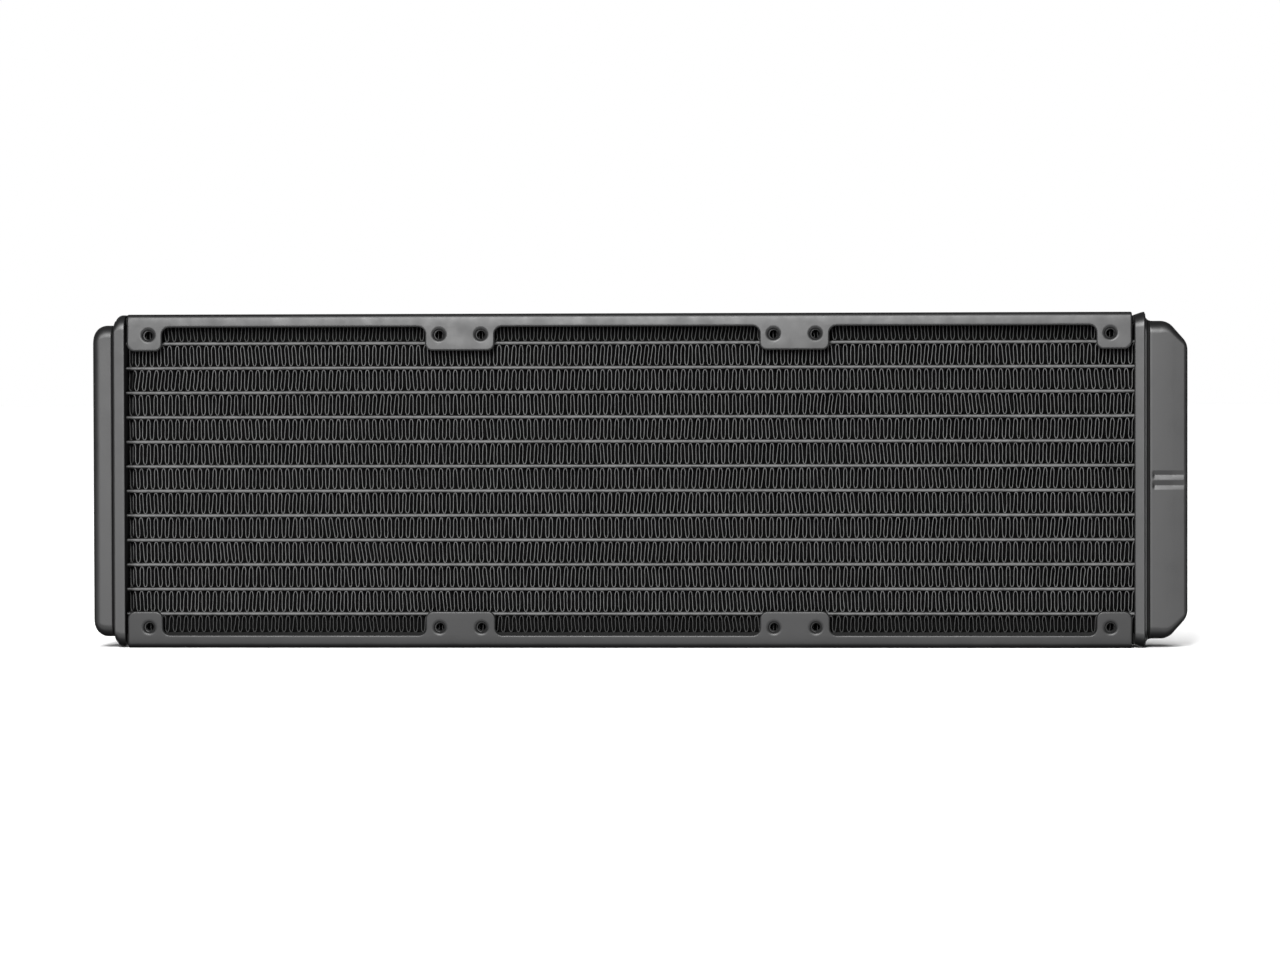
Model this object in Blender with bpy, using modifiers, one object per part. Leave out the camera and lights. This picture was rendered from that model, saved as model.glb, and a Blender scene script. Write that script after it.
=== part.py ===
"""Liquid cooling radiator for three 120 mm fans, built piece by piece in metres.

It stands on its long edge: X runs along the length, -Y is the fan side, Z is up.
The origin is under the middle of the whole part, on the surface that it stands on.
"""

import math

import bmesh
import bpy
from mathutils import Matrix, Vector

MM = 0.001

# Fans: the grid that every other length follows.
FAN_SIZE = 120 * MM
FAN_COUNT = 3
FAN_HOLE_SPACING = 105 * MM
SCREW_HOLE_RADIUS = 1.8 * MM  # lets the thread of a fan screw through

# Whole part.
HEIGHT = FAN_SIZE
DEPTH = 27 * MM
MIDDLE_Z = HEIGHT / 2
GAP = 0.3 * MM  # clearance between pieces that are soldered together
OVERSHOOT = 5 * MM  # how far a cutter runs past what it cuts

# Side plates: folded channels over and under the core.
PLATE_LENGTH = FAN_COUNT * FAN_SIZE + 0.4 * MM
PLATE_SHEET = 1.2 * MM
FLANGE_HEIGHT = 4.7 * MM
TAB_HEIGHT = 13.2 * MM
TAB_MARGIN = 5 * MM  # from a screw hole's centre to the side of its tab
TAB_RADIUS = 2.6 * MM
BEND_RADIUS = 1.8 * MM

# Core: flat tubes with a folded fin strip on each side of every tube.
TUBE_COUNT = 12
TUBE_PITCH = 8.85 * MM
TUBE_WIDTH = 16 * MM
TUBE_HEIGHT = 1.2 * MM
TUBE_WALL = 0.3 * MM
CORE_Z = MIDDLE_Z + 0.8 * MM  # the core sits a little above the middle of the frame
FIN_SHEET = 0.3 * MM
FIN_FOLDS = 34  # one for every four folds of a real strip
OUTER_FIN_HEIGHT = 6.1 * MM
CORE_BAR_SHEET = 1.0 * MM

# Header plates: shallow trays that hold the tube ends, and the tanks inside their rims.
HEADER_FACE = 181.2 * MM  # from the middle of the frame to the plate's core side
HEADER_RIM = 4.0 * MM
HEADER_SHEET = 1.0 * MM
HEADER_DEPTH = 26 * MM
HEADER_HEIGHT = 119.2 * MM
HEADER_RADIUS = 5.4 * MM
HEADER_BEND = 1.2 * MM
TUBE_STANDOUT = 1.0 * MM  # how far a tube reaches through its header plate

# Tanks.
TANK_WALL = 1.0 * MM
TANK_FOOT_HEIGHT = 116.6 * MM
TANK_FOOT_REACH = 2.3 * MM
TANK_FOOT_DEPTH = 23.4 * MM
TANK_DEPTH = 22.8 * MM
TANK_RADIUS = 4.4 * MM  # of the four long edges of a tank
RETURN_TANK_END = 193 * MM  # from the middle of the frame
RETURN_TANK_HEIGHT = 112.2 * MM
RETURN_TANK_RADIUS = 5.2 * MM
RETURN_TANK_EDGE = 2.4 * MM
PORT_TANK_END = 200 * MM
PORT_TANK_HEIGHT = 113.5 * MM
PORT_TANK_CHAMFER_X = 7 * MM
PORT_TANK_CHAMFER_Z = 8 * MM
PORT_TANK_RADIUS = 6 * MM
PORT_TANK_EDGE = 1.5 * MM
CORNER_STEPS = 4  # faces round each long edge of a tank
FLAT_ANGLE = math.radians(0.5)  # faces closer to level than this are one face

# Two V grooves across the port tank, either side of the divider plate inside.
GROOVE_SPACING = 3.8 * MM
GROOVE_WIDTH = 3.6 * MM
GROOVE_DEPTH = 0.55 * MM
GROOVE_END_MARGIN = 1.6 * MM
DIVIDER_SHEET = 1.2 * MM

# Ports: threaded bushes with a quarter-inch parallel thread, flush with the tank's end.
PORT_OFFSET = 28 * MM  # from the divider to each port
PORT_BORE_RADIUS = 6.7 * MM  # lets the thread of a fitting in
PORT_MOUTH_RADIUS = 7.2 * MM
PORT_BUSH_RADIUS = 8.8 * MM
PORT_COLLAR_RADIUS = 9.8 * MM
PORT_COLLAR_LENGTH = 2 * MM
PORT_BUSH_LENGTH = 7 * MM
TURNED_STEPS = 24

# The two tanks differ in length, so the frame is off the middle of the whole part.
FRAME_X = (RETURN_TANK_END - PORT_TANK_END) / 2

CORE_HALF = (TUBE_COUNT - 1) / 2 * TUBE_PITCH + TUBE_HEIGHT / 2 + OUTER_FIN_HEIGHT

PAINT = ("black_paint", (0.028, 0.028, 0.03, 1), 0.5, 0.0)
CORE_PAINT = ("core_paint", (0.02, 0.02, 0.021, 1), 0.55, 0.0)
BRASS = ("port_brass", (0.55, 0.4, 0.16, 1), 0.35, 1.0)


def clear_scene():
    for obj in list(bpy.data.objects):
        bpy.data.objects.remove(obj, do_unlink=True)


def new_collection(name):
    collection = bpy.data.collections.new(name)
    bpy.context.scene.collection.children.link(collection)
    return collection


def material(name, colour, roughness, metallic):
    """A plain Principled material, made once for each name."""
    made = bpy.data.materials.get(name)
    if made is None:
        made = bpy.data.materials.new(name)
        made.use_nodes = True
        shader = made.node_tree.nodes["Principled BSDF"]
        shader.inputs["Base Color"].default_value = colour
        shader.inputs["Roughness"].default_value = roughness
        shader.inputs["Metallic"].default_value = metallic
    return made


def object_from(bm, name, collection, look=None):
    """Turns a bmesh into an object in a collection, with a material."""
    mesh = bpy.data.meshes.new(name)
    bm.to_mesh(mesh)
    bm.free()
    obj = bpy.data.objects.new(name, mesh)
    collection.objects.link(obj)
    if look:
        mesh.materials.append(material(*look))
    return obj


def round_edges(bm, radius, segments, pick):
    """Rounds the edges for which pick(start, end) is true."""
    edges = [e for e in bm.edges if pick(e.verts[0].co, e.verts[1].co)]
    bmesh.ops.bevel(
        bm, geom=edges, offset=radius, segments=segments, profile=0.5, affect="EDGES"
    )


def along(axis):
    """A test for edges that run along one axis."""
    others = [i for i in range(3) if i != axis]
    return lambda a, b: all(abs(a[i] - b[i]) < GAP / 10 for i in others)


def on_plane(axis, value):
    """A test for edges that lie on a plane across one axis."""
    return lambda a, b: all(abs(p[axis] - value) < GAP / 10 for p in (a, b))


def box_mesh(low, high):
    """A bmesh box between two corners."""
    low, high = Vector(low), Vector(high)
    bm = bmesh.new()
    bmesh.ops.create_cube(bm, size=1)
    bmesh.ops.scale(bm, vec=high - low, verts=bm.verts)
    bmesh.ops.translate(bm, vec=(low + high) / 2, verts=bm.verts)
    return bm


def fillet(points, segments=4):
    """Rounds the corners of an outline of (x, z, radius) points and returns (x, z) points."""
    rounded = []
    for i, (x, z, radius) in enumerate(points):
        corner = Vector((x, z))
        if radius == 0:
            rounded.append(corner)
            continue
        before = (Vector(points[i - 1][:2]) - corner).normalized()
        after = (Vector(points[(i + 1) % len(points)][:2]) - corner).normalized()
        half = before.angle(after) / 2
        centre = corner + (before + after).normalized() * radius / math.sin(half)
        start = corner + before * radius / math.tan(half) - centre
        end = corner + after * radius / math.tan(half) - centre
        for step in range(segments + 1):
            share = step / segments
            swing = start.angle_signed(end) * share
            rounded.append(centre + Matrix.Rotation(-swing, 2) @ start)
    return rounded


def extruded_outline(name, outline, depth, collection):
    """A solid of an outline in the XZ plane, extruded to depth and centred on Y 0."""
    curve = bpy.data.curves.new(name, "CURVE")
    curve.dimensions = "2D"
    curve.fill_mode = "BOTH"
    curve.extrude = depth / 2
    spline = curve.splines.new("POLY")
    spline.points.add(len(outline) - 1)
    for point, (x, z) in zip(spline.points, outline):
        point.co = (x, z, 0, 1)
    spline.use_cyclic_u = True
    drawn = bpy.data.objects.new(name + "_outline", curve)
    collection.objects.link(drawn)
    drawn.rotation_euler = (math.radians(90), 0, 0)
    bpy.context.view_layer.update()
    graph = bpy.context.evaluated_depsgraph_get()
    mesh = bpy.data.meshes.new_from_object(drawn.evaluated_get(graph))
    bm = bmesh.new()
    bm.from_mesh(mesh)
    bmesh.ops.transform(bm, matrix=drawn.matrix_world, verts=bm.verts)
    bmesh.ops.remove_doubles(bm, verts=bm.verts, dist=GAP / 100)
    flat = [e for e in bm.edges if e.is_manifold and e.calc_face_angle() < 1e-4]
    bmesh.ops.dissolve_edges(bm, edges=flat, use_verts=False)
    bpy.data.objects.remove(drawn)
    bpy.data.meshes.remove(mesh)
    return bm


def boolean(obj, other, operation):
    modifier = obj.modifiers.new(other.name, "BOOLEAN")
    modifier.operation = operation
    modifier.object = other
    modifier.solver = "EXACT"


def cutter_from(bm, name):
    """A hidden helper object."""
    cutter = object_from(bm, name, CUTTERS)
    cutter.hide_render = True
    cutter.display_type = "WIRE"
    return cutter


def cut(obj, bm, name):
    boolean(obj, cutter_from(bm, f"{obj.name}_{name}"), "DIFFERENCE")


def cylinder_mesh(radius, length, segments, axis, centre):
    """A bmesh cylinder along an axis, centred on a point."""
    bm = bmesh.new()
    bmesh.ops.create_cone(
        bm,
        cap_ends=True,
        segments=segments,
        radius1=radius,
        radius2=radius,
        depth=length,
    )
    turn = Vector((0, 0, 1)).rotation_difference(Vector(axis)).to_matrix()
    bmesh.ops.rotate(bm, matrix=turn, verts=bm.verts)
    bmesh.ops.translate(bm, vec=centre, verts=bm.verts)
    return bm


def fan_centres():
    """The X of each fan's middle."""
    first = FRAME_X - (FAN_COUNT - 1) / 2 * FAN_SIZE
    return [first + i * FAN_SIZE for i in range(FAN_COUNT)]


def tube_heights():
    """The Z of each tube's middle, from the lowest up."""
    first = CORE_Z - (TUBE_COUNT - 1) / 2 * TUBE_PITCH
    return [first + i * TUBE_PITCH for i in range(TUBE_COUNT)]


def side_plate_outline():
    """The bottom plate's front view: a flange with a screw tab between and beside the fans."""
    left = FRAME_X - PLATE_LENGTH / 2
    right = FRAME_X + PLATE_LENGTH / 2
    window_half = FAN_HOLE_SPACING / 2 - TAB_MARGIN
    outline = [(left, 0, 0), (left, TAB_HEIGHT, TAB_RADIUS)]
    for x in fan_centres():
        outline += [
            (x - window_half, TAB_HEIGHT, TAB_RADIUS),
            (x - window_half, FLANGE_HEIGHT, TAB_RADIUS),
            (x + window_half, FLANGE_HEIGHT, TAB_RADIUS),
            (x + window_half, TAB_HEIGHT, TAB_RADIUS),
        ]
    return outline + [(right, TAB_HEIGHT, TAB_RADIUS), (right, 0, 0)]


def side_plate(name, upside_down):
    """A channel folded from sheet: web outside, a flange with screw tabs front and back."""
    bm = extruded_outline(name, fillet(side_plate_outline()), DEPTH, CUTTERS)
    bottom, lengthwise = on_plane(2, 0), along(0)
    round_edges(bm, BEND_RADIUS, 4, lambda a, b: bottom(a, b) and lengthwise(a, b))
    plate = object_from(bm, name, RADIATOR, PAINT)
    reach = PLATE_LENGTH / 2 + OVERSHOOT
    inner = DEPTH / 2 - PLATE_SHEET
    channel = box_mesh(
        (FRAME_X - reach, -inner, PLATE_SHEET),
        (FRAME_X + reach, inner, TAB_HEIGHT + OVERSHOOT),
    )
    floor = on_plane(2, PLATE_SHEET)
    bend_inside = BEND_RADIUS - PLATE_SHEET
    round_edges(channel, bend_inside, 2, lambda a, b: floor(a, b) and lengthwise(a, b))
    cut(plate, channel, "channel")
    hole_z = (HEIGHT - FAN_HOLE_SPACING) / 2
    for i, x in enumerate(fan_centres()):
        for side in (-1, 1):
            centre = (x + side * FAN_HOLE_SPACING / 2, 0, hole_z)
            hole = cylinder_mesh(
                SCREW_HOLE_RADIUS, DEPTH + OVERSHOOT, 12, (0, 1, 0), centre
            )
            cut(plate, hole, f"screw_{i}_{side}")
    if upside_down:
        plate.rotation_euler = (math.radians(180), 0, 0)
        plate.location.z = HEIGHT
        for modifier in plate.modifiers:
            modifier.object.rotation_euler = plate.rotation_euler
            modifier.object.location = plate.location
    return plate


def rounded_bar(low, high, radius, segments=2):
    """A bar along X with its four long edges rounded."""
    bm = box_mesh(low, high)
    round_edges(bm, radius, segments, along(0))
    return bm


def flat_tube(name, z):
    """A hollow flat tube, open at both ends, through both header plates."""
    half = HEADER_FACE + HEADER_SHEET + TUBE_STANDOUT
    width, height = TUBE_WIDTH / 2, TUBE_HEIGHT / 2
    outside = rounded_bar(
        (FRAME_X - half, -width, z - height),
        (FRAME_X + half, width, z + height),
        height - TUBE_WALL / 10,
    )
    tube = object_from(outside, name, RADIATOR, CORE_PAINT)
    half += OVERSHOOT
    width, height = width - TUBE_WALL, height - TUBE_WALL
    inside = rounded_bar(
        (FRAME_X - half, -width, z - height),
        (FRAME_X + half, width, z + height),
        height - TUBE_WALL / 10,
    )
    cut(tube, inside, "hollow")


def fin_strip(name, low, high):
    """A sheet folded to and fro between two heights."""
    columns = 2 * FIN_FOLDS
    bpy.ops.mesh.primitive_grid_add(x_subdivisions=columns, y_subdivisions=1, size=1)
    strip = bpy.context.object
    strip.name = name
    for other in list(strip.users_collection):
        other.objects.unlink(strip)
    RADIATOR.objects.link(strip)
    length = 2 * HEADER_FACE - 4 * GAP
    crest = (high - low) / 2 - FIN_SHEET
    for vertex in strip.data.vertices:
        column = round((vertex.co.x + 0.5) * columns)
        z = crest if column % 2 else -crest
        vertex.co = (vertex.co.x * length, vertex.co.y * TUBE_WIDTH, z)
    strip.location = (FRAME_X, 0, (low + high) / 2)
    strip.data.materials.append(material(*CORE_PAINT))
    solidify = strip.modifiers.new("sheet", "SOLIDIFY")
    solidify.thickness = FIN_SHEET
    solidify.offset = 0
    solidify.use_even_offset = True


def core():
    """Tubes, the fin strips between them, and the bar that closes each side."""
    heights = tube_heights()
    for i, z in enumerate(heights):
        flat_tube(f"flat_tube_{i + 1:02d}", z)
    spaces = [(CORE_Z - CORE_HALF, heights[0] - TUBE_HEIGHT / 2)]
    for low, high in zip(heights, heights[1:]):
        spaces.append((low + TUBE_HEIGHT / 2, high - TUBE_HEIGHT / 2))
    spaces.append((heights[-1] + TUBE_HEIGHT / 2, CORE_Z + CORE_HALF))
    for i, (low, high) in enumerate(spaces):
        fin_strip(f"fin_strip_{i + 1:02d}", low + GAP, high - GAP)
    half = HEADER_FACE - GAP
    for name, z in (
        ("core_bar_bottom", CORE_Z - CORE_HALF - CORE_BAR_SHEET),
        ("core_bar_top", CORE_Z + CORE_HALF),
    ):
        bar = rounded_bar(
            (FRAME_X - half, -TUBE_WIDTH / 2, z),
            (FRAME_X + half, TUBE_WIDTH / 2, z + CORE_BAR_SHEET),
            CORE_BAR_SHEET / 3,
        )
        object_from(bar, name, RADIATOR, CORE_PAINT)


def outward_box(side, start, end, depth, height):
    """A box between two distances from the frame's middle, to the left (-1) or right (1)."""
    near, far = sorted((FRAME_X + side * start, FRAME_X + side * end))
    return box_mesh(
        (near, -depth / 2, MIDDLE_Z - height / 2),
        (far, depth / 2, MIDDLE_Z + height / 2),
    )


def header_plate(name, side):
    """A shallow tray with a slot for each tube and a rim that holds the tank's foot."""
    rim = HEADER_FACE + HEADER_RIM
    tray = outward_box(side, HEADER_FACE, rim, HEADER_DEPTH, HEADER_HEIGHT)
    round_edges(tray, HEADER_RADIUS, 5, along(0))
    core_side = on_plane(0, FRAME_X + side * HEADER_FACE)
    round_edges(tray, HEADER_BEND, 2, core_side)
    plate = object_from(tray, name, RADIATOR, PAINT)
    hollow = outward_box(
        side,
        HEADER_FACE + HEADER_SHEET,
        rim + OVERSHOOT,
        HEADER_DEPTH - 2 * HEADER_SHEET,
        HEADER_HEIGHT - 2 * HEADER_SHEET,
    )
    round_edges(hollow, HEADER_RADIUS - HEADER_SHEET, 5, along(0))
    cut(plate, hollow, "hollow")
    near, far = sorted((side * (HEADER_FACE - OVERSHOOT), side * rim))
    width = TUBE_WIDTH / 2 + GAP
    height = TUBE_HEIGHT / 2 + GAP
    for i, z in enumerate(tube_heights()):
        slot = rounded_bar(
            (FRAME_X + near, -width, z - height),
            (FRAME_X + far, width, z + height),
            height - GAP / 10,
        )
        cut(plate, slot, f"slot_{i + 1:02d}")


def return_tank_outline(inset):
    """The return tank's front view, upper half: from its mouth round one corner."""
    end = RETURN_TANK_END - inset
    half = RETURN_TANK_HEIGHT / 2 - inset
    return [(end, half, RETURN_TANK_RADIUS - inset)]


def port_tank_outline(inset):
    """The port tank's front view, upper half: from its mouth over one cut corner."""
    end = PORT_TANK_END - inset
    half = PORT_TANK_HEIGHT / 2 - inset
    radius = PORT_TANK_RADIUS - inset
    # An outline that shrinks evenly moves the ends of its cut corners by these shares.
    slope = math.atan2(PORT_TANK_CHAMFER_X, PORT_TANK_CHAMFER_Z)
    cut_x = PORT_TANK_CHAMFER_X - inset * math.tan(math.pi / 4 - slope / 2)
    cut_z = PORT_TANK_CHAMFER_Z - inset * math.tan(slope / 2)
    return [(end - cut_x, half, radius), (end, half - cut_z, radius)]


def tank_body(side, outline, edge, inset, lengthen):
    """A tank's outside, or its hollow when inset by the wall: the hull of rounded sections."""
    mouth = HEADER_FACE + HEADER_SHEET + GAP - lengthen
    corners = outline(inset)
    end = corners[-1][0]
    edge -= inset
    profile = fillet([(mouth, corners[0][1], 0), *corners, (end, 0, 0), (mouth, 0, 0)])
    bm = bmesh.new()
    for x, half_height in profile:
        if half_height == 0:
            continue
        # The sections shrink towards the end face, which rounds its edges.
        past = min(max(0, x - (end - edge)), edge)
        shrink = edge - math.sqrt(edge**2 - past**2)
        half_depth = TANK_DEPTH / 2 - inset - shrink
        radius = TANK_RADIUS - inset - shrink
        for y_sign, z_sign in ((1, 1), (-1, 1), (-1, -1), (1, -1)):
            for step in range(CORNER_STEPS + 1):
                angle = math.radians(90) * step / CORNER_STEPS
                y = half_depth - radius + radius * math.cos(angle)
                z = half_height - radius + radius * math.sin(angle)
                place = (FRAME_X + side * x, y_sign * y, MIDDLE_Z + z_sign * z)
                bm.verts.new(place)
    hull = bmesh.ops.convex_hull(bm, input=bm.verts)
    inside = {v for v in hull["geom_interior"] if isinstance(v, bmesh.types.BMVert)}
    bmesh.ops.delete(bm, geom=list(inside), context="VERTS")
    bmesh.ops.dissolve_limit(
        bm, angle_limit=FLAT_ANGLE, verts=bm.verts, edges=bm.edges
    )
    return bm


def tank_foot(side, inset, lengthen):
    """The wider foot of a tank, which sits inside the header plate's rim."""
    mouth = HEADER_FACE + HEADER_SHEET + GAP
    foot = outward_box(
        side,
        mouth - lengthen,
        mouth + TANK_FOOT_REACH - inset,
        TANK_FOOT_DEPTH - 2 * inset,
        TANK_FOOT_HEIGHT - 2 * inset,
    )
    round_edges(foot, HEADER_RADIUS - HEADER_SHEET - GAP - inset, 4, along(0))
    return foot


def tank(name, side, outline, edge):
    """A deep-drawn shell, open towards the header plate."""
    shell = object_from(tank_body(side, outline, edge, 0, 0), name, RADIATOR, PAINT)
    foot = cutter_from(tank_foot(side, 0, 0), f"{name}_foot")
    boolean(shell, foot, "UNION")
    cut(shell, tank_foot(side, TANK_WALL, OVERSHOOT), "foot_hollow")
    cut(shell, tank_body(side, outline, edge, TANK_WALL, OVERSHOOT), "hollow")
    return shell


def cut_grooves(shell):
    """Two V grooves side by side across each broad face of the port tank."""
    start = HEADER_FACE + HEADER_RIM + GROOVE_END_MARGIN
    end = PORT_TANK_END - GROOVE_END_MARGIN
    centre_x = FRAME_X + (start + end) / 2
    for face in (-1, 1):
        for row in (-1, 1):
            # The cutter is a diamond twice as big as the groove, half sunk in the face.
            centre = (
                centre_x,
                face * (TANK_DEPTH / 2 + GROOVE_DEPTH),
                MIDDLE_Z + row * GROOVE_SPACING / 2,
            )
            groove = cylinder_mesh(1, end - start, 4, (1, 0, 0), (0, 0, 0))
            size = (1, 2 * GROOVE_DEPTH, GROOVE_WIDTH)
            bmesh.ops.scale(groove, vec=size, verts=groove.verts)
            bmesh.ops.translate(groove, vec=centre, verts=groove.verts)
            cut(shell, groove, f"groove_{face}_{row}")


def port_centres():
    """The middle of each port on the end face of the port tank."""
    x = FRAME_X + PORT_TANK_END
    return {
        "upper": Vector((x, 0, MIDDLE_Z + PORT_OFFSET)),
        "lower": Vector((x, 0, MIDDLE_Z - PORT_OFFSET)),
    }


def port_tank():
    shell = tank("port_tank", 1, port_tank_outline, PORT_TANK_EDGE)
    cut_grooves(shell)
    for name, centre in port_centres().items():
        radius = PORT_BUSH_RADIUS + GAP
        hole = cylinder_mesh(radius, 2 * OVERSHOOT, TURNED_STEPS, (1, 0, 0), centre)
        cut(shell, hole, f"{name}_port")


def port_bush(name, centre):
    """A turned bush whose collar sits behind the tank's end wall and whose bore takes a fitting."""
    collar_top = TANK_WALL + GAP
    mouth_chamfer = PORT_MOUTH_RADIUS - PORT_BORE_RADIUS
    profile = [
        (PORT_MOUTH_RADIUS, 0),
        (PORT_BUSH_RADIUS, 0),
        (PORT_BUSH_RADIUS, -collar_top),
        (PORT_COLLAR_RADIUS, -collar_top),
        (PORT_COLLAR_RADIUS, -collar_top - PORT_COLLAR_LENGTH),
        (PORT_BUSH_RADIUS, -collar_top - PORT_COLLAR_LENGTH),
        (PORT_BUSH_RADIUS, -PORT_BUSH_LENGTH),
        (PORT_BORE_RADIUS, -PORT_BUSH_LENGTH),
        (PORT_BORE_RADIUS, -mouth_chamfer),
    ]
    bm = bmesh.new()
    verts = [bm.verts.new((radius, 0, z)) for radius, z in profile]
    for i, vert in enumerate(verts):
        bm.edges.new((verts[i - 1], vert))
    bush = object_from(bm, name, RADIATOR, BRASS)
    screw = bush.modifiers.new("turn", "SCREW")
    screw.steps = screw.render_steps = TURNED_STEPS
    screw.use_merge_vertices = True
    screw.merge_threshold = 0.01 * MM
    screw.use_smooth_shade = False
    bush.rotation_euler = (0, math.radians(90), 0)
    bush.location = centre


def divider():
    """The plate that parts the port tank into an inlet side and an outlet side."""
    start = FRAME_X + HEADER_FACE + HEADER_SHEET + GAP
    end = FRAME_X + PORT_TANK_END - TANK_WALL - GAP
    half = TANK_DEPTH / 2 - TANK_WALL - GAP
    bm = box_mesh(
        (start, -half, MIDDLE_Z - DIVIDER_SHEET / 2),
        (end, half, MIDDLE_Z + DIVIDER_SHEET / 2),
    )
    object_from(bm, "port_tank_divider", RADIATOR, PAINT)


clear_scene()
RADIATOR = new_collection("liquid_cooling_radiator")
CUTTERS = new_collection("cutters")

side_plate("side_plate_bottom", False)
side_plate("side_plate_top", True)
core()
header_plate("header_plate_return", -1)
header_plate("header_plate_port", 1)
tank("return_tank", -1, return_tank_outline, RETURN_TANK_EDGE)
port_tank()
divider()
for port, place in port_centres().items():
    port_bush(f"port_bush_{port}", place)
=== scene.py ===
"""Looks of the liquid cooling radiator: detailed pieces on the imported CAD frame, paint, light and camera."""

import math

import bmesh
import bpy
import numpy as np
from mathutils import Matrix, Vector
from mathutils.geometry import delaunay_2d_cdt


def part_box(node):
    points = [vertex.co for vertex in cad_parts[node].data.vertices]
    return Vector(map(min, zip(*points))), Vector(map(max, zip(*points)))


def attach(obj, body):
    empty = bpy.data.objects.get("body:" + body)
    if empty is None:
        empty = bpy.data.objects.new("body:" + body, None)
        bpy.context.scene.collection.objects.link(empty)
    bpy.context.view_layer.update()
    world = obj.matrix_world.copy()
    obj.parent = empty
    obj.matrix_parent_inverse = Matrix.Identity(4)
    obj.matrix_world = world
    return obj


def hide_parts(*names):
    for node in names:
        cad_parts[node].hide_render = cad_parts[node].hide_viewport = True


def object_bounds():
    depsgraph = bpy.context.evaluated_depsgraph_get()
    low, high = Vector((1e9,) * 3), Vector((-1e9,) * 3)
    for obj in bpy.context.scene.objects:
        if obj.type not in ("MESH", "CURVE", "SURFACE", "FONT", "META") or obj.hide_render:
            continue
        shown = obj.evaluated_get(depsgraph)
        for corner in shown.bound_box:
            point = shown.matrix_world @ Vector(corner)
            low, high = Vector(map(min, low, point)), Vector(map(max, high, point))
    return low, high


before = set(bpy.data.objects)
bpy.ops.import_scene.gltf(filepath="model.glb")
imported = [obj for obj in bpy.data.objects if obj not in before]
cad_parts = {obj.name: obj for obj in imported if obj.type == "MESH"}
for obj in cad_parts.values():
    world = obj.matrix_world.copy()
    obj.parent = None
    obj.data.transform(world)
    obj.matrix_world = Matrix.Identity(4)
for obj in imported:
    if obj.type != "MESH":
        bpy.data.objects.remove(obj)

CAD_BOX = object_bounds()
MM = 0.001

# Places and sizes that the CAD gives.
PLATE_LOW, PLATE_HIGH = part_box("side_plate_bottom")
FRAME_X = (PLATE_LOW.x + PLATE_HIGH.x) / 2
MIDDLE_Z = (CAD_BOX[0].z + CAD_BOX[1].z) / 2
CORE_FACE = {
    -1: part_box("header_plate_return")[1].x,
    1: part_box("header_plate_port")[0].x,
}
TANK_END = {-1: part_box("return_tank")[0].x, 1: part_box("port_tank")[1].x}
TUBES = [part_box(name) for name in sorted(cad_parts) if name.startswith("flat_tube")]

# Side plates.
FAN_SIZE = 120 * MM
FAN_HOLE_SPACING = 105 * MM
PLATE_SHEET = 1.2 * MM
FLANGE_HEIGHT = 4.7 * MM
TAB_MARGIN = 5 * MM
TAB_RADIUS = 2.6 * MM
BEND_RADIUS = 1.8 * MM
BEND_STEPS = 8
SPLAY = math.radians(3.0)  # the flanges sprang back a little after folding
EASE = math.radians(5.0)  # the last part of the bend is this much, and soft
EASE_LENGTH = 1.2 * MM
EASE_CUTS = (0.4, 0.9, 1.5, 2.2)  # shares of that length at which the soft part has points
OUTER_EDGE = 0.6 * MM  # the sheet's edges are rolled over by the punch
INNER_EDGE = 0.2 * MM
EDGE_STEPS = 5

# Fan screws.
COLLAR_STEPS = 44
FUNNEL_RADIUS = 3.1 * MM
FUNNEL_NECK = 2.0 * MM
FUNNEL_DEPTH = 0.62 * MM
FUNNEL_STEPS = 9
LEAD_CONE = 0.8 * MM
SCREW_MAJOR = 1.78 * MM
SCREW_THREAD = 0.34 * MM
SCREW_PITCH = 0.79 * MM
THREAD_RUNOUT = 0.05 * MM
COLLAR_LENGTH = 4.0 * MM
COLLAR_CHAMFER = 0.2 * MM
# The collar's outside in mm, as (past the thread, up from the tip) and (past the thread, below the sheet).
COLLAR_LIP = ((0.15, 0), (0.45, 0), (0.6, 0.15))
COLLAR_ROOT = ((0.75, 0.5), (0.95, 0.15), (1.3, 0))

# Headers and tanks.
CORNER_STEPS = 12
SLOT_EASE = 0.03 * MM
HEADER_RADIUS = 5.4 * MM
HEADER_HALF_Y = 13.0 * MM
HEADER_HALF_Z = {-1: 59.8 * MM, 1: 60.0 * MM}
RIM_BEND = (1.0, 2.6, 3.2)  # mm: where the return header's rim turns in, over how far, and by how much
RIM_STEPS = 14
TANK_WALL = 1.0 * MM
TANK_HALF_Y = 11.4 * MM
TANK_RADIUS = 4.4 * MM
LEAST_RADIUS = 0.4 * MM
RETURN_TANK_HALF_Z = 56.1 * MM
RETURN_TANK_RADIUS = 5.0 * MM
RETURN_TANK_EDGE = 2.4 * MM
PORT_TANK_HALF_Z = 56.75 * MM
PORT_TANK_CUT = (7 * MM, 8 * MM)
PORT_TANK_RADIUS = 6 * MM
PORT_TANK_EDGE = 1.5 * MM
TANK_CROWN = 0.3 * MM  # the port tank's broad faces fall away towards its end
CUT_TAPER = 0.5  # and its long edges get this much sharper along the cut corners
PROFILE_STEPS = 12
STRAIGHT_SECTIONS = 9
NECK = {-1: (3.4, 4.8), 1: (4.35, 5.34)}  # mm from the core side: the groove at a tank's neck, whose deep faces get painted shade
NECK_DEPTH = 2 * MM
GROOVE_SPACING = 3.7 * MM
GROOVE_REACH = 1.75 * MM
GROOVE_DEPTH = 0.36 * MM
GROOVE_CUTS = (0, 0.12, 0.26, 0.42, 0.6, 0.8, 1)  # shares of the reach at which there are points
GROOVE_FADE_IN = 0.6 * MM
GROOVE_FADE_OUT = 2.5 * MM
GROOVE_END_GAP = 0.6 * MM

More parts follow.
